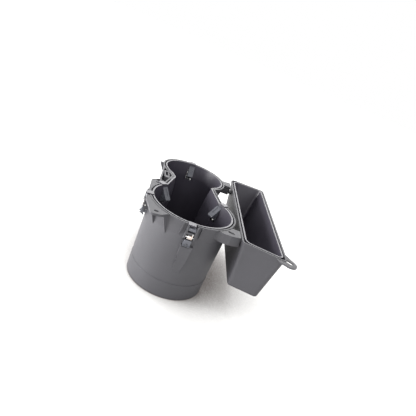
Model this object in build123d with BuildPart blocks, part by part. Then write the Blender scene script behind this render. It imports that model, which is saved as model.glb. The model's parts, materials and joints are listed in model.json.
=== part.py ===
"""Double cup holder insert with a side bin and five sprung grip fingers.

Frame: origin on the near cup's axis in the plane that the cups stand on, +Z up along the cup axes,
+Y towards the far cup, +X towards the bin. Millimetres.
"""
import os
from math import acos, atan2, cos, degrees, radians, sin, sqrt

from build123d import *

os.makedirs("parts", exist_ok=True)

# ---- driving dimensions ----
RIM = 86.5  # height of the common rim plane
NEAR_R = 40.6  # inner radius of the near cup at the rim
FAR_R = 34.2  # inner radius of the far cup at the rim
CUP_PITCH = 94.5  # distance between the two cup axes

WALL = 1.6  # liner and housing wall
WALL_GAP = 0.4  # air gap between liner and housing below the flared rim
FLARE = 1.0  # extra width of the housing at the rim
FLOOR = 2.0  # thickness of each floor
SHOULDER = 70.5  # height where the flare under the rim ends
BAND_HEIGHT = 18.5  # raised band round the foot
BAND_STEP = 0.3

# the walls lean inwards: (height, shift of the wall from its place at the rim), from the rim down
LEAN_STATIONS = [(RIM, 0.0), (SHOULDER, -2.0), (BAND_HEIGHT, -3.5), (0.0, -3.9)]

PLATE = 2.2  # flanges, ears and brackets
PLATE_TOP = RIM - 0.4

# channel walls between the cups: near root, apex and far root on each side
RIGHT_NECK = [(29.2, 24.0), (20.5, 65.1), (29.0, 78.8)]
LEFT_NECK = [(-30.0, 23.5), (-21.5, 60.9), (-28.0, 77.6)]

# ---- grip finger mechanism, in each site's own (outward, up) coordinates from the rim ----
PIVOT = (4.8, -4.4)
COIL = (5.2, -12.0)
FINGER_HALF = 3.35
WINDOW_HALF = 3.7
WINDOW_BOTTOM = -20.6
CHEEK = 1.5  # thickness of the cheeks beside the finger
CHEEK_REACH = 7.0
CHEEK_BOTTOM = -15.8
CROSSBAR = (4.0, 6.9, -9.2, -7.2)  # inner and outer face, bottom and top
TRUNNION_R = 1.2
TRUNNION_CLEARANCE = 0.06
PIN_R = 0.9
PIN_CLEARANCE = 0.02
COIL_R = 2.1  # mean radius of the torsion spring
WIRE_R = 0.38
COIL_LENGTH = 4.2

# name: (cup radius, cup centre y, direction in degrees, shift along the wall of the tab above the finger)
SITES = {
    "front": (NEAR_R, 0.0, 271.5, 1.6),
    "left": (NEAR_R, 0.0, 189.5, 0.0),
    "neck_left": (NEAR_R, 0.0, 138.0, -2.0),
    "neck_right": (NEAR_R, 0.0, 42.0, 2.0),
    "far_back": (FAR_R, CUP_PITCH, 93.0, 0.0),
}
RIBBED_SITES = ["front", "left", "far_back"]  # sites with a thin rib on each side
TAB_HALF = 3.6

# ---- side bin ----
BIN_DEPTH = 49.0
BIN_FLARE = 0.7  # extra width of the bin housing at the rim
BIN_FLARE_HEIGHT = 7.0
BIN_FLOOR = RIM - BIN_DEPTH
BIN_TOP = [(53.0, -40.0), (87.5, -47.6), (91.1, 123.6), (54.4, 123.6)]  # inner face at the rim
BIN_FOOT = [(58.4, -37.2), (79.8, -42.0), (83.6, 113.0), (62.2, 113.0)]  # inner face at the floor
BIN_OUTER = 2 * WALL + 1.4  # housing's outer face, outside the liner's inner face
SHELL_CORNERS = [4.0, 4.0, 4.0, 9.0]  # outer corner radii of the bin housing
LINER_CORNERS = [7.0, 3.5, 3.0, 8.0]  # inner corner radii of the bin liner
LUG = (93.6, -53.2)
LUG_SLOT = (94.2, -51.6)
LUG_SLOT_TURN = -32.0
LUG_THICKNESS = 1.3


def lean(level):
    """Shift of a wall at a height from its place at the rim."""
    for (high, high_shift), (low, low_shift) in zip(LEAN_STATIONS, LEAN_STATIONS[1:]):
        if level >= low:
            return low_shift + (level - low) * (high_shift - low_shift) / (high - low)


def levels_between(low, high):
    """Heights at which a wall between two heights changes its slope, ends included."""
    return [low] + [level for level, _ in reversed(LEAN_STATIONS) if low < level < high] + [high]


def housing_face(grow):
    """Offset, by height, of a housing face that is `grow` outside the liner's inner face."""
    flare_height = RIM - SHOULDER
    return lambda level: grow + lean(level) + FLARE * max(0.0, (level - SHOULDER) / flare_height)


def liner_face(grow):
    """Offset, by height, of a liner face that is `grow` outside the liner's inner face."""
    return lambda level: grow + lean(level)


def neck_outline(grow):
    """Points of the channel's outline, `grow` outside the liner's inner face at the rim."""
    points = []
    for side, wall in ((1, RIGHT_NECK), (-1, LEFT_NECK)):
        near, apex, far = (Vector(*p) for p in wall)
        normals = []
        for start, end in ((near, apex), (apex, far)):
            run = (end - start).normalized()
            normals.append(Vector(side * run.Y, -side * run.X))
        bisector = (normals[0] + normals[1]).normalized()
        miter = bisector * (grow / bisector.dot(normals[0]))
        points.append([near + normals[0] * grow, apex + miter, far + normals[1] * grow])
    right, left = points
    return [(p.X, p.Y) for p in right + left[::-1]]


def double_cup(face, low, high, apex_radius=3.0):
    """Solid of both cups and their channel inside a wall face."""
    levels = levels_between(low, high)
    with BuildPart() as cups:
        for centre_y, radius in ((0, NEAR_R), (CUP_PITCH, FAR_R)):
            for level in levels:
                with BuildSketch(Plane.XY.offset(level)):
                    with Locations((0, centre_y)):
                        Circle(radius + face(level))
            loft(ruled=True)
        for level in levels:
            with BuildSketch(Plane.XY.offset(level)) as neck:
                with BuildLine():
                    Polyline(*neck_outline(face(level)), close=True)
                make_face()
                apexes = [v for v in neck.vertices() if 55 < v.Y < 70]
                fillet(apexes, radius=apex_radius)
        loft(ruled=True)
    return cups.part


def plate(points, thickness=PLATE, top=PLATE_TOP, corner_radius=0.0, round_below_y=None):
    """Flat plate with its top at `top`; the corners below a y are rounded."""
    with BuildPart() as flat:
        with BuildSketch(Plane.XY.offset(top - thickness)) as outline:
            with BuildLine():
                Polyline(*points, close=True)
            make_face()
            if corner_radius:
                fillet([v for v in outline.vertices() if v.Y < round_below_y], radius=corner_radius)
        extrude(amount=thickness)
    return flat.part


def upright(plane, points, half_width):
    """Plate standing in a vertical plane, `half_width` to each side of it."""
    with BuildPart() as standing:
        with BuildSketch(plane):
            with BuildLine():
                Polyline(*points, close=True)
            make_face()
        extrude(amount=half_width, both=True)
    return standing.part


# ---- shapes in a site's own coordinates: x outward, y up from the rim, z along the wall ----
def site_plane(radius, centre_y, direction):
    """Plane through a site's rim point."""
    out = (cos(radians(direction)), sin(radians(direction)), 0)
    along = (sin(radians(direction)), -cos(radians(direction)), 0)
    return Plane(origin=(radius * out[0], centre_y + radius * out[1], RIM), x_dir=out, z_dir=along)


def block(low_out, high_out, bottom, top, low_along, high_along):
    """Block in site coordinates."""
    with BuildPart() as shape:
        with BuildSketch(Plane.XY.offset(low_along)):
            with Locations(((low_out + high_out) / 2, (bottom + top) / 2)):
                Rectangle(high_out - low_out, top - bottom)
        extrude(amount=high_along - low_along)
    return shape.part


def rod(centre, radius, half_length):
    """Rod across a site."""
    with BuildPart() as shape:
        with BuildSketch():
            with Locations(centre):
                Circle(radius)
        extrude(amount=half_length, both=True)
    return shape.part


def slab(points, low_along, thickness):
    """Plate of a given outline, standing across the wall."""
    with BuildPart() as shape:
        with BuildSketch(Plane.XY.offset(low_along)):
            with BuildLine():
                Polyline(*points, close=True)
            make_face()
        extrude(amount=thickness)
    return shape.part


def tapered_link(start, start_radius, end, end_radius):
    """Flat link with round ends of two radii."""
    with BuildSketch() as link:
        with Locations(start):
            Circle(start_radius)
        with Locations(end):
            Circle(end_radius)
        make_hull()
    return link.sketch


CHEEK_OUTLINE = [
    (3.3, -0.6),
    (CHEEK_REACH, -0.6),
    (CHEEK_REACH, CHEEK_BOTTOM + 2.4),
    (CHEEK_REACH - 2.4, CHEEK_BOTTOM),
    (0.9, CHEEK_BOTTOM),
]
RIB_OUTLINE = [(2.4, -0.6), (5.6, -0.6), (4.2, -8.0), (0.9, -14.5), (0.2, -14.5)]
WEDGE_SECTIONS = [(-22.2, 4.2, 11.4), (-38.0, 2.9, 10.4), (-53.0, 0.9, 7.0)]  # level, reach, width
WEDGE_SHIFT = -1.6
WEDGE_SLOT = (1.6, 6.0, -41.0, -34.5, 2.6, 6.0)
TOE_SPACE = (3.0, 12.0, -23.8, -20.0)

# two cheeks and the crossbar that carry the finger and its spring
with BuildPart() as cheeks:
    for start in (WINDOW_HALF, -WINDOW_HALF - CHEEK):
        add(slab(CHEEK_OUTLINE, start, CHEEK))
    add(block(*CROSSBAR, -WINDOW_HALF - 0.2, WINDOW_HALF + 0.2))

# two thin tapering ribs beside an outer mechanism
with BuildPart() as flank_ribs:
    for start in (-9.6, 8.4):
        add(slab(RIB_OUTLINE, start, 1.2))

# raised wedge below the front window, running out into the wall
with BuildPart() as wedge:
    for wedge_level, reach, width in WEDGE_SECTIONS:
        with BuildSketch(Plane.XZ.offset(-wedge_level)):
            with Locations(((reach + 0.2) / 2, WEDGE_SHIFT)):
                Rectangle(reach - 0.2, width)
    loft(ruled=True)
    add(block(*WEDGE_SLOT), mode=Mode.SUBTRACT)
    add(block(*TOE_SPACE, -WINDOW_HALF, WINDOW_HALF), mode=Mode.SUBTRACT)

# what is cut from the housing and the liner for a finger
with BuildPart() as trunnion_and_pin_holes:
    add(rod(PIVOT, TRUNNION_R + TRUNNION_CLEARANCE, 8))
    add(rod(COIL, PIN_R + PIN_CLEARANCE, 5.6))

with BuildPart() as mechanism_space:
    add(block(-4, CROSSBAR[0], WINDOW_BOTTOM, -1.6, -WINDOW_HALF, WINDOW_HALF))
    add(block(3.9, 12, CROSSBAR[3], -1.6, -WINDOW_HALF, WINDOW_HALF))
    add(block(3.9, 12, WINDOW_BOTTOM, CROSSBAR[2], -WINDOW_HALF, WINDOW_HALF))

# ---- cup housing ----
site_planes = {name: site_plane(*values[:3]) for name, values in SITES.items()}
all_planes = list(site_planes.values())

HOUSING_IN = WALL + WALL_GAP
HOUSING_OUT = HOUSING_IN + WALL

left_flange = [
    (-46.1, 30.0),
    (-45.9, -21.0),
    (-38.4, -48.6),
    (-29.2, -46.2),
    (-21.5, -38.5),
    (-15.0, -30.0),
    (-25.0, 0.0),
    (-25.0, 34.0),
    (-35.7, 34.0),
    (-39.2, 37.0),
]
flange_groove = [(-44.6, 29.6), (-38.8, 34.9), (-36.6, 32.6), (-35.9, 33.2), (-38.8, 36.1), (-45.3, 30.4)]
front_bracket = [
    (20.0, -34.0),
    (24.5, -26.0),
    (37.5, -21.6),
    (48.0, -22.6),
    (48.0, -36.6),
    (38.2, -39.6),
    (30.4, -39.2),
]
bracket_skirt = [(21.6, -35.2), (30.4, -39.2), (38.2, -39.6), (48.1, -36.6), (47.8, -34.9), (38.0, -37.8),
                 (30.8, -37.4), (22.4, -33.4)]
back_pad = [(30.0, 98.0), (48.0, 98.0), (48.0, 113.5), (41.0, 111.5), (30.0, 109.0)]
far_tab = [(-36.5, 0.0), (-42.1, 0.0), (-42.1, -1.2), (-37.4, -9.0), (-35.5, -9.0)]
FAR_TAB_Y = 94.0
FAR_TAB_HALF = 1.6
EAR_GUSSET = [(-1.5, PLATE_TOP - 1), (8.9, PLATE_TOP - 1), (0.0, 66.3), (-1.5, 66.3)]
EAR_GUSSET_FEET = [(-32.6, -26.7), (-20.2, -36.9)]  # where each one ends on the wall
EAR_GUSSET_RUN = (-0.83, -0.56, 0)
EAR_GUSSET_NORMAL = (-0.56, 0.83, 0)
EAR_HOLE = (-34.1, -41.8)
BRACKET_SLOT = (38.3, -32.4)
BRACKET_SLOT_TURN = -19.0
FLANGE_HOLE = (-40.0, 25.8)
FLANGE_HOLE_R = 1.3
SCREW_PLACES = [(43.6, -29.2), (43.6, 106.6)]
SCREW_CORE_R = 1.25
BOSS_BOTTOM = RIM - 9.0
NECK_BOSS = (-32.0, 61.5)  # oval boss with an oval pocket beside the left neck
NECK_BOSS_TURN = 95.0

outer_upper = double_cup(housing_face(HOUSING_OUT), BAND_HEIGHT, RIM, apex_radius=2.0)
outer_band = double_cup(housing_face(HOUSING_OUT + BAND_STEP), 0, BAND_HEIGHT, apex_radius=2.0)
housing_cavity = double_cup(housing_face(HOUSING_IN), FLOOR, RIM + 2, apex_radius=2.4)
liner_space = double_cup(liner_face(WALL + 0.2), 2 * FLOOR, RIM + 2)
left_land = [(-27.6, 47.5), (-21.0, 47.5), (-20.0, 61.0), (-26.0, 80.0), (-33.0, 80.0), (-27.0, 65.0),
             (-26.4, 60.0)]
right_land = [(20.8, 64.6), (23.4, 61.6), (25.2, 64.8), (31.4, 76.4), (28.6, 79.4), (21.6, 67.4)]

with BuildPart() as cup_housing:
    add(outer_band)
    fillet(cup_housing.faces().sort_by(Axis.Z)[0].edges(), radius=1.5)
    add(outer_upper)
    add(plate(left_flange, corner_radius=3.0, round_below_y=-45))
    add(plate(front_bracket))
    add(plate(back_pad, top=RIM - 1.2))
    # gussets under the ear
    for foot in EAR_GUSSET_FEET:
        gusset_plane = Plane(origin=(*foot, 0), x_dir=EAR_GUSSET_RUN, z_dir=EAR_GUSSET_NORMAL)
        add(upright(gusset_plane, EAR_GUSSET, 0.7))
    # skirt along the bracket's front edge
    add(plate(bracket_skirt, thickness=9.4, top=PLATE_TOP - 0.4))
    # web and screw bosses between the cups and the bin
    add(upright(Plane.XZ.offset(-100.0), [(34.0, RIM - 3), (48.0, RIM - 3), (48.0, RIM - 12), (34.0, RIM - 12)],
                0.9))
    with BuildSketch(Plane.XY.offset(BOSS_BOTTOM)):
        with Locations(*SCREW_PLACES):
            Circle(3.0)
    extrude(until=Until.NEXT)
    # oval boss and outer rib beside the left neck
    with BuildSketch(Plane.XY.offset(RIM - 22)):
        with Locations(Location(NECK_BOSS, NECK_BOSS_TURN)):
            SlotOverall(21.0, 6.0)
        with Locations((-28.6, 54.0), (-28.6, 69.0)):
            Rectangle(5.0, 1.4)
    extrude(amount=21.4)
    add(plate([(-38.5, 34.0), (-37.2, 34.0), (-35.8, 81.0), (-37.2, 81.0)], thickness=9.9, top=RIM - 0.6))
    # plain gusset on the far cup's left side
    add(upright(Plane(origin=(0, FAR_TAB_Y, RIM), x_dir=(1, 0, 0), z_dir=(0, -1, 0)), far_tab, FAR_TAB_HALF))
    with Locations(*(site_planes[name] for name in RIBBED_SITES)):
        add(flank_ribs.part)
    with Locations(site_planes["front"]):
        add(wedge.part)
    add(housing_cavity, mode=Mode.SUBTRACT)
    # lands that close the gap between the shells beside the two necks
    add(plate(left_land, thickness=1.2, top=RIM - 0.2))
    add(plate(right_land, thickness=1.2, top=RIM - 0.2))
    with Locations(*all_planes):
        add(cheeks.part)
    add(liner_space, mode=Mode.SUBTRACT)
    with Locations(*all_planes):
        add(mechanism_space.part, mode=Mode.SUBTRACT)
        add(trunnion_and_pin_holes.part, mode=Mode.SUBTRACT)
    # the rim is open above the fingers, for the liner's tabs
    for name, plane in site_planes.items():
        shift = SITES[name][3]
        with Locations(plane):
            add(block(-1, 12, -1.7, 3, -WINDOW_HALF, WINDOW_HALF), mode=Mode.SUBTRACT)
            add(block(-1, 7.4, -0.65, 3, shift - TAB_HALF - 0.1, shift + TAB_HALF + 0.1), mode=Mode.SUBTRACT)
    # fastener holes, the boss's pocket and the groove along the flange's far edge
    with BuildSketch(Plane.XY.offset(RIM + 1)):
        with Locations(EAR_HOLE):
            SlotOverall(4.6, 3.4)
        with Locations(Location(BRACKET_SLOT, BRACKET_SLOT_TURN)):
            SlotOverall(6.8, 3.2)
        with Locations(FLANGE_HOLE):
            Circle(FLANGE_HOLE_R)
    extrude(amount=-8, mode=Mode.SUBTRACT)
    with BuildSketch(Plane.XY.offset(RIM - 18)):
        with Locations(Location((NECK_BOSS[0], NECK_BOSS[1] + 1.0), NECK_BOSS_TURN)):
            SlotOverall(11.7, 2.8)
    extrude(amount=20, mode=Mode.SUBTRACT)
    add(plate(flange_groove, thickness=0.8, top=PLATE_TOP), mode=Mode.SUBTRACT)
    with BuildSketch(Plane.XY.offset(BOSS_BOTTOM)):
        with Locations(*SCREW_PLACES):
            Circle(SCREW_CORE_R)
    extrude(amount=6.2, mode=Mode.SUBTRACT)
cup_housing.part.label = "cup_housing"
export_step(cup_housing.part, "parts/cup_housing.step")

# ---- cup liner ----
liner_outside = double_cup(liner_face(WALL), FLOOR, RIM)
liner_inside = double_cup(liner_face(0), 2 * FLOOR, RIM + 2)

with BuildPart() as cup_liner:
    add(liner_outside)
    fillet(cup_liner.faces().sort_by(Axis.Z)[0].edges(), radius=1.2)
    add(liner_inside, mode=Mode.SUBTRACT)
    with Locations(*all_planes):
        add(block(-4, 4, WINDOW_BOTTOM, -2.0, -WINDOW_HALF, WINDOW_HALF), mode=Mode.SUBTRACT)
    for name, plane in site_planes.items():
        shift = SITES[name][3]
        with Locations(plane):
            add(block(0.3, 7.2, -0.6, 0.6, shift - TAB_HALF, shift + TAB_HALF))
cup_liner.part.label = "cup_liner"
export_step(cup_liner.part, "parts/cup_liner.step")


# ---- side bin ----
def bin_corners(level):
    """Corners of the liner's inner face at a height, before rounding."""
    share = (RIM - level) / (RIM - BIN_FLOOR)
    return [(x + share * (u - x), y + share * (v - y)) for (x, y), (u, v) in zip(BIN_TOP, BIN_FOOT)]


def bin_solid(grow, floor_level, corner_radii, floor_radius, flare=0.0):
    """Tapered bin solid, `grow` outside the liner's inner face, and `flare` narrower under the rim."""
    sections = [(RIM, grow), (floor_level, grow)]
    if flare:
        sections.insert(1, (RIM - BIN_FLARE_HEIGHT, grow - flare))
    with BuildPart() as tray:
        for level, grow_here in sections:
            corners = bin_corners(level)
            with BuildSketch(Plane.XY.offset(level)) as section:
                with BuildLine():
                    Polyline(*corners, close=True)
                make_face()
                if grow_here:
                    offset(amount=grow_here, kind=Kind.INTERSECTION)
                for corner, radius in zip(corners, corner_radii):
                    fillet(section.vertices().sort_by_distance(Vector(*corner, level))[0], radius=radius)
        loft(ruled=True)
        fillet(tray.faces().sort_by(Axis.Z)[0].edges(), radius=floor_radius)
    return tray.part


shell_inner_corners = [radius - WALL for radius in SHELL_CORNERS]
liner_outer_corners = [radius + WALL for radius in LINER_CORNERS]
bin_shell_outside = bin_solid(BIN_OUTER, BIN_FLOOR, SHELL_CORNERS, 1.4, flare=BIN_FLARE)
bin_shell_inside = bin_solid(BIN_OUTER - WALL, BIN_FLOOR + FLOOR, shell_inner_corners, 1.0, flare=BIN_FLARE)
bin_liner_outside = bin_solid(WALL, BIN_FLOOR + FLOOR, liner_outer_corners, 2.5)
bin_liner_inside = bin_solid(0, BIN_FLOOR + 2 * FLOOR, LINER_CORNERS, 2.5)

with BuildPart() as bin_housing:
    add(bin_shell_outside)
    # tongues under the screw bosses
    for x, y in SCREW_PLACES:
        with BuildSketch(Plane.XY.offset(BOSS_BOTTOM - PLATE)):
            with Locations((x, y)):
                Circle(4.0)
            with Locations((x + 4.5, y)):
                Rectangle(9.0, 8.0)
        extrude(amount=PLATE)
    # lug
    with BuildSketch(Plane.XY.offset(PLATE_TOP - LUG_THICKNESS)):
        with BuildLine():
            Polyline((80.0, -48.0), (85.0, -56.8), (90.6, -60.2), LUG, (100.4, -49.8), (92.6, -38.0), (84.0, -40.0),
                     close=True)
        make_face()
        with Locations(LUG):
            Circle(7.6)
    extrude(amount=LUG_THICKNESS)
    add(bin_shell_inside, mode=Mode.SUBTRACT)
    with BuildSketch(Plane.XY.offset(RIM + 1)):
        with Locations(Location(LUG_SLOT, LUG_SLOT_TURN)):
            SlotOverall(7.6, 4.8)
    extrude(amount=-8, mode=Mode.SUBTRACT)
    with BuildSketch(Plane.XY.offset(RIM)):
        with Locations(*SCREW_PLACES):
            Circle(1.7)
    extrude(amount=-14, mode=Mode.SUBTRACT)
bin_housing.part.label = "bin_housing"
export_step(bin_housing.part, "parts/bin_housing.step")

with BuildPart() as bin_liner:
    add(bin_liner_outside)
    add(bin_liner_inside, mode=Mode.SUBTRACT)
bin_liner.part.label = "bin_liner"
export_step(bin_liner.part, "parts/bin_liner.step")

# ---- screws that join the bin to the cup housing ----
SCREW_HEAD_R = 2.9
SCREW_HEAD = 1.9
with BuildPart() as bin_screws:
    with BuildSketch(Plane.XY.offset(BOSS_BOTTOM - PLATE)):
        with Locations(*SCREW_PLACES):
            Circle(SCREW_HEAD_R)
    extrude(amount=-SCREW_HEAD)
    fillet(bin_screws.edges().group_by(Axis.Z)[0], radius=0.8)
    with BuildSketch(Plane.XY.offset(BOSS_BOTTOM - PLATE - SCREW_HEAD)):
        with Locations(*SCREW_PLACES):
            Circle(SCREW_CORE_R - 0.02)
    extrude(amount=SCREW_HEAD + PLATE + 5.2)
    with BuildSketch(Plane.XY.offset(BOSS_BOTTOM - PLATE - SCREW_HEAD)):
        with Locations(*SCREW_PLACES):
            Rectangle(3.0, 0.7)
            Rectangle(0.7, 3.0)
    extrude(amount=1.1, mode=Mode.SUBTRACT)
bin_screws.part.label = "bin_screws"
export_step(bin_screws.part, "parts/bin_screws.step")

# ---- grip finger, spring and spring pin, in site coordinates ----
BEND = (1.4, -3.9)
NOSE = (-7.8, -13.8)
RETURN = (2.4, -19.4)
TAIL = (5.7, -19.4)
TAIL_TOP = (6.2, -15.8)
TAIL_TOE = (4.2, -22.6)
HOOK = [(5.4, -19.4), (8.0, -21.0), (5.0, -22.3)]
FLANK_OUTLINE = [(0.9, -4.9), (-7.0, -13.4), (-7.0, -14.6), (1.8, -19.3), (1.2, -14.6), (-0.6, -11.5), (-0.6, -9.5),
                 (0.6, -7.0)]
FLANK = 0.5  # thickness of the finger's side flanks
GROOVE_OUTLINE = [(-0.54, -4.77), (-5.99, -10.63), (-8.42, -8.38), (-2.97, -2.52)]
NOSE_CUT = [(-12.6, 3.6), (-15.6, 3.6), (-15.6, 2.4)]  # (up, along) corner taken off the nose
FINGER_LINKS = [
    (PIVOT, 2.1, BEND, 1.25),
    (BEND, 1.25, NOSE, 1.5),
    (NOSE, 1.5, RETURN, 1.0),
    (RETURN, 1.0, TAIL, 1.0),
    (TAIL_TOP, 0.9, TAIL, 1.0),
    (TAIL, 1.0, TAIL_TOE, 0.6),
]

with BuildPart() as finger_shape:
    with BuildSketch():
        for link in FINGER_LINKS:
            add(tapered_link(*link))
        with BuildLine():
            Polyline(*HOOK, close=True)
        make_face()
    extrude(amount=FINGER_HALF, both=True)
    add(rod(PIVOT, TRUNNION_R, WINDOW_HALF + CHEEK - 0.1))
    for start in (-FINGER_HALF, FINGER_HALF - FLANK):
        add(slab(FLANK_OUTLINE, start, FLANK))
    # slot between the tail's two prongs, groove along the ramp and bevelled corners of the nose
    add(block(5.3, 12, -27, -18.4, -1.2, 1.2), mode=Mode.SUBTRACT)
    add(slab(GROOVE_OUTLINE, -1.5, 3.0), mode=Mode.SUBTRACT)
    for side in (1, -1):
        with BuildSketch(Plane.YZ.offset(-4)):
            with BuildLine():
                Polyline(*((up, side * along) for up, along in NOSE_CUT), close=True)
            make_face()
        extrude(amount=-8, mode=Mode.SUBTRACT)

with BuildPart() as pin_shape:
    add(rod(COIL, PIN_R, WINDOW_HALF + CHEEK))
    chamfer(pin_shape.edges().filter_by(GeomType.CIRCLE), length=0.2)

# the spring's outer leg rises beside the crossbar; its inner leg lies on the back of the finger's ramp
inner_leg_end = (-4.3, -12.8)
leg_dx, leg_dy = inner_leg_end[0] - COIL[0], inner_leg_end[1] - COIL[1]
leg_reach = sqrt(leg_dx ** 2 + leg_dy ** 2)
tangent_angle = degrees(atan2(leg_dy, leg_dx)) % 360 + degrees(acos(COIL_R / leg_reach))
part_turn = (360 - tangent_angle) / 360
turns = 5 + part_turn
inner_leg_start = (
    COIL[0] + COIL_R * cos(radians(tangent_angle)),
    COIL[1] + COIL_R * sin(radians(tangent_angle)),
)
leg_runs = [
    ((COIL[0] + COIL_R, COIL[1], -COIL_LENGTH / 2), (COIL[0] + COIL_R, -7.7, -COIL_LENGTH / 2)),
    ((*inner_leg_start, COIL_LENGTH / 2), (*inner_leg_end, COIL_LENGTH / 2)),
]

with BuildPart() as coil_shape:
    with BuildLine() as coil_line:
        Helix(pitch=COIL_LENGTH / turns, height=COIL_LENGTH, radius=COIL_R, lefthand=True)
    with BuildSketch(Plane(origin=coil_line.line @ 0, z_dir=coil_line.line % 0)):
        Circle(WIRE_R)
    sweep(is_frenet=True)

with BuildPart() as spring_shape:
    with Locations((*COIL, -COIL_LENGTH / 2)):
        add(coil_shape.part)
    for start, end in leg_runs:
        with BuildSketch(Plane(origin=start, z_dir=Vector(*end) - Vector(*start))):
            Circle(WIRE_R)
        extrude(amount=(Vector(*end) - Vector(*start)).length)
        with Locations(start, end):
            Sphere(WIRE_R)

for name, plane in site_planes.items():
    for piece, shape in (("finger", finger_shape), ("spring_pin", pin_shape), ("spring", spring_shape)):
        with BuildPart() as placed:
            with Locations(plane):
                add(shape.part)
        placed.part.label = name + "_" + piece
        export_step(placed.part, "parts/" + name + "_" + piece + ".step")
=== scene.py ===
"""A double cup holder with a side bin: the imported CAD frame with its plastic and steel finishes,
a pale floor, soft studio light and a camera."""
import json

import bpy
from mathutils import Matrix, Vector

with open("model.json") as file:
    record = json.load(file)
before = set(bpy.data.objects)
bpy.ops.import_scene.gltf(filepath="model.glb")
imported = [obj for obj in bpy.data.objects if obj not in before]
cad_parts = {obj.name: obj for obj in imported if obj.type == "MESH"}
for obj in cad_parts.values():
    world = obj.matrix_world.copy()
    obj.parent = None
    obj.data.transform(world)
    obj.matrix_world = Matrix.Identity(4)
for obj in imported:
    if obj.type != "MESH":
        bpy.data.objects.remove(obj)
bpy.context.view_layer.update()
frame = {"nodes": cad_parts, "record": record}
nodes = frame["nodes"]
scene = bpy.context.scene

MM = 0.001
CLOUD_SIZE = 38 * MM  # flow clouds in the plastics
PLASTIC_SPREAD = 0.06  # how far a plastic's roughness strays from its mean
STAIN_SIZE = 1.8 * MM
SCRATCH_DEPTH = 0.01 * MM
STEEL_EDGE = 0.1 * MM  # radius of the eased edges of the steel pieces
FLOOR_HALF = 12.0
FLOOR_PAINTED_SHADE_REACH = 0.10  # how near the floor has to be to a piece for the painted shade to darken it
LOOK_AT = (0.02, 0.03, 0.05)  # the middle of the object, which every light faces

# name: (place, width, height, watts)
SOFT_BOXES = {
    "key": ((-1.35, -0.25, 0.24), 0.9, 0.5, 36.0),
    "edge": ((-1.10, 0.80, 0.25), 0.6, 0.6, 12.0),
    "back": ((-0.1, 1.5, 0.95), 2.4, 0.9, 30.0),
    "front": ((0.15, -1.5, 0.75), 1.2, 0.8, 8.0),
}


# ---- node helpers

def new_material(name):
    """A material with an empty tree, its Principled shader and its output."""
    material = bpy.data.materials.new(name)
    material.use_nodes = True
    tree = material.node_tree
    tree.nodes.clear()
    output = tree.nodes.new("ShaderNodeOutputMaterial")
    shader = tree.nodes.new("ShaderNodeBsdfPrincipled")
    tree.links.new(shader.outputs["BSDF"], output.inputs["Surface"])
    return material, tree, shader


def object_coordinates(tree):
    """The surface point in the object's own metres."""
    return tree.nodes.new("ShaderNodeTexCoord").outputs["Object"]


def noise(tree, point, size, detail):
    """A noise pattern whose blobs are about size across, in metres."""
    node = tree.nodes.new("ShaderNodeTexNoise")
    node.inputs["Scale"].default_value = 1.0 / size
    node.inputs["Detail"].default_value = detail
    tree.links.new(point, node.inputs["Vector"])
    return node.outputs["Fac"]


def remap(tree, value, low, high, to_low, to_high):
    """value, from low to high, drawn onto to_low to to_high."""
    node = tree.nodes.new("ShaderNodeMapRange")
    for name, number in (("From Min", low), ("From Max", high), ("To Min", to_low), ("To Max", to_high)):
        node.inputs[name].default_value = number
    tree.links.new(value, node.inputs["Value"])
    return node.outputs["Result"]


def two_colours(tree, value, first, second):
    """first where value is 0 and second where it is 1."""
    node = tree.nodes.new("ShaderNodeMix")
    node.data_type = "RGBA"
    node.inputs["A"].default_value = (*first, 1.0)
    node.inputs["B"].default_value = (*second, 1.0)
    tree.links.new(value, node.inputs["Factor"])
    return node.outputs["Result"]


def bump(tree, height, depth, strength, normal):
    """normal bent by height, which is depth metres deep."""
    node = tree.nodes.new("ShaderNodeBump")
    node.inputs["Strength"].default_value = strength
    node.inputs["Distance"].default_value = depth
    tree.links.new(height, node.inputs["Height"])
    tree.links.new(normal, node.inputs["Normal"])
    return node.outputs["Normal"]


def rounded_edges(tree, radius):
    """A normal that rounds the CAD's sharp edges."""
    node = tree.nodes.new("ShaderNodeBevel")
    node.samples = 4
    node.inputs["Radius"].default_value = radius
    return node.outputs["Normal"]


def moulded_plastic(name, dark, light, roughness, grain, grain_depth, edge):
    """Moulded plastic: a fine grain, faint flow clouds from dark to light, and eased edges.

    grain is the width of the grain's blobs, grain_depth its depth and edge the radius of the edges.
    """
    material, tree, shader = new_material(name)
    point = object_coordinates(tree)
    clouds = noise(tree, point, CLOUD_SIZE, detail=3.0)
    grains = noise(tree, point, grain, detail=1.5)
    colour = two_colours(tree, remap(tree, clouds, 0.3, 0.7, 0.0, 1.0), dark, light)
    tree.links.new(colour, shader.inputs["Base Color"])
    rough = remap(tree, grains, 0.3, 0.7, roughness - PLASTIC_SPREAD, roughness + PLASTIC_SPREAD)
    tree.links.new(rough, shader.inputs["Roughness"])
    normal = bump(tree, grains, grain_depth, 0.5, rounded_edges(tree, edge))
    tree.links.new(normal, shader.inputs["Normal"])
    return material


def drawn_steel(name, colour, stain, roughness, grain):
    """Bare metal with fine scratches, grain wide, and faint stains of another colour."""
    material, tree, shader = new_material(name)
    point = object_coordinates(tree)
    stains = noise(tree, point, STAIN_SIZE, detail=3.0)
    scratches = noise(tree, point, grain, detail=2.0)
    mixed = two_colours(tree, remap(tree, stains, 0.45, 0.75, 0.0, 1.0), colour, stain)
    tree.links.new(mixed, shader.inputs["Base Color"])
    shader.inputs["Metallic"].default_value = 1.0
    rough = remap(tree, scratches, 0.3, 0.7, roughness - 0.08, roughness + 0.1)
    tree.links.new(rough, shader.inputs["Roughness"])
    normal = bump(tree, scratches, SCRATCH_DEPTH, 0.3, rounded_edges(tree, STEEL_EDGE))
    tree.links.new(normal, shader.inputs["Normal"])
    return material


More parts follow.
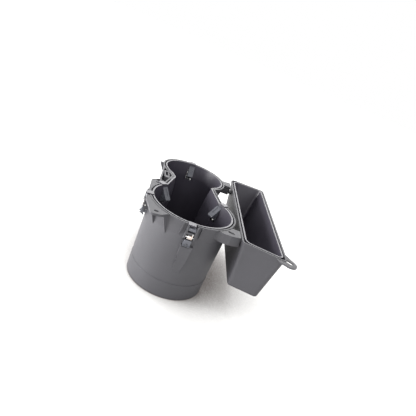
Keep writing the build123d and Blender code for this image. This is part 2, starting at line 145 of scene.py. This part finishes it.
FINISHES = {
    "housing_plastic": moulded_plastic(
        "housing_plastic", dark=(0.047, 0.046, 0.052), light=(0.056, 0.055, 0.062),
        roughness=0.58, grain=0.45 * MM, grain_depth=0.04 * MM, edge=0.35 * MM,
    ),
    "liner_plastic": moulded_plastic(
        "liner_plastic", dark=(0.030, 0.027, 0.037), light=(0.037, 0.034, 0.046),
        roughness=0.38, grain=0.40 * MM, grain_depth=0.02 * MM, edge=0.3 * MM,
    ),
    "bin_plastic": moulded_plastic(
        "bin_plastic", dark=(0.042, 0.041, 0.047), light=(0.050, 0.049, 0.056),
        roughness=0.56, grain=0.45 * MM, grain_depth=0.04 * MM, edge=0.35 * MM,
    ),
    # Painted sheen: the fingers are glossy black plastic, and their lighter, bluish base colour stands in
    # for the bright surround they reflect.
    "finger_plastic": moulded_plastic(
        "finger_plastic", dark=(0.076, 0.079, 0.093), light=(0.089, 0.092, 0.108),
        roughness=0.30, grain=0.8 * MM, grain_depth=0.01 * MM, edge=0.5 * MM,
    ),
    "spring_steel": drawn_steel(
        "spring_steel", colour=(0.80, 0.77, 0.74), stain=(0.74, 0.52, 0.40), roughness=0.25, grain=0.12 * MM
    ),
    "pin_steel": drawn_steel(
        "pin_steel", colour=(0.62, 0.62, 0.62), stain=(0.5, 0.48, 0.46), roughness=0.3, grain=0.15 * MM
    ),
    "screw_steel": drawn_steel(
        "screw_steel", colour=(0.55, 0.56, 0.58), stain=(0.42, 0.42, 0.44), roughness=0.35, grain=0.2 * MM
    ),
}


def dress_cad_nodes():
    """Each CAD node takes its record slot's finish."""
    slot_of = {part["node"]: part["material_slot"] for part in frame["record"]["subparts"]}
    for name, node in nodes.items():
        finish = FINISHES[slot_of[name]]
        if not node.data.materials:
            node.data.materials.append(finish)
        for index in range(len(node.material_slots)):
            node.material_slots[index].material = finish


dress_cad_nodes()


# ---- floor, light and camera

def pale_floor():
    """A plain pale floor under the cups, much wider than the view, with painted shade: darker and warmer
    close to the object.

    It glows a little in the open, so that it reads as a bright white sheet, and the glow is dimmed close to
    the object as painted shade too.
    """
    mesh = bpy.data.meshes.new("floor")
    half = FLOOR_HALF
    corners = [(-half, -half, 0), (half, -half, 0), (half, half, 0), (-half, half, 0)]
    mesh.from_pydata(corners, [], [(0, 1, 2, 3)])
    floor = bpy.data.objects.new("floor", mesh)
    scene.collection.objects.link(floor)
    material, tree, shader = new_material("pale_floor")
    # Painted shade: an ambient-occlusion mask darkens and warms the floor's colour near the object, and
    # dims its glow there.
    shade = tree.nodes.new("ShaderNodeAmbientOcclusion")
    shade.inputs["Distance"].default_value = FLOOR_PAINTED_SHADE_REACH
    shade.samples = 8
    painted_shade_openness = remap(tree, shade.outputs["AO"], 0.3, 0.65, 0.0, 1.0)
    # painted shadow: dark warm brown where the floor is hemmed in by the object, the pale floor tone in the
    # open
    colour = two_colours(tree, painted_shade_openness, (0.14, 0.115, 0.105), (0.62, 0.617, 0.61))
    tree.links.new(colour, shader.inputs["Base Color"])
    shader.inputs["Roughness"].default_value = 0.6
    shader.inputs["Specular IOR Level"].default_value = 0.2
    # the glow drops near the object as painted shade as well
    glow = two_colours(tree, painted_shade_openness, (0.015, 0.012, 0.011), (0.38, 0.378, 0.372))
    tree.links.new(glow, shader.inputs["Emission Color"])
    shader.inputs["Emission Strength"].default_value = 1.0
    mesh.materials.append(material)


def soft_light(name, place, width, height, watts):
    """A white soft box at place that faces the object, and that the camera doesn't see."""
    data = bpy.data.lights.new(name, "AREA")
    data.shape = "RECTANGLE"
    data.size = width
    data.size_y = height
    data.energy = watts
    light = bpy.data.objects.new(name, data)
    light.location = place
    light.rotation_euler = (Vector(LOOK_AT) - Vector(place)).to_track_quat("-Z", "Y").to_euler()
    light.visible_camera = False
    scene.collection.objects.link(light)


def studio():
    """A white surround and four soft boxes.

    The key is low on the left, with a small one behind it for the left edges. A broad one behind and
    above lights the rims, and a weak one in front fills the shadows.
    """
    world = bpy.data.worlds.new("studio")
    world.use_nodes = True
    background = world.node_tree.nodes["Background"]
    background.inputs["Color"].default_value = (1.0, 1.0, 1.0, 1.0)
    background.inputs["Strength"].default_value = 1.0
    scene.world = world
    for name, box in SOFT_BOXES.items():
        soft_light(name, *box)


def camera():
    """The photograph's view, from the front, a little left and above, rolled about its own axis.

    right, up and back are the camera's own axes in the frame.
    """
    data = bpy.data.cameras.new("camera")
    data.sensor_width = 36.0
    data.lens = 35.55
    data.clip_start = 0.01
    view = bpy.data.objects.new("camera", data)
    right = Vector((0.92638, -0.02080, 0.37601))
    up = Vector((-0.33702, 0.39973, 0.85243))
    back = Vector((-0.16803, -0.91640, 0.36329))
    turn = Matrix((right, up, back)).transposed().to_4x4()
    view.matrix_world = Matrix.Translation((-0.0536, -0.3709, 0.2357)) @ turn
    scene.collection.objects.link(view)
    scene.camera = view


pale_floor()
studio()
camera()
scene.view_settings.view_transform = "Standard"
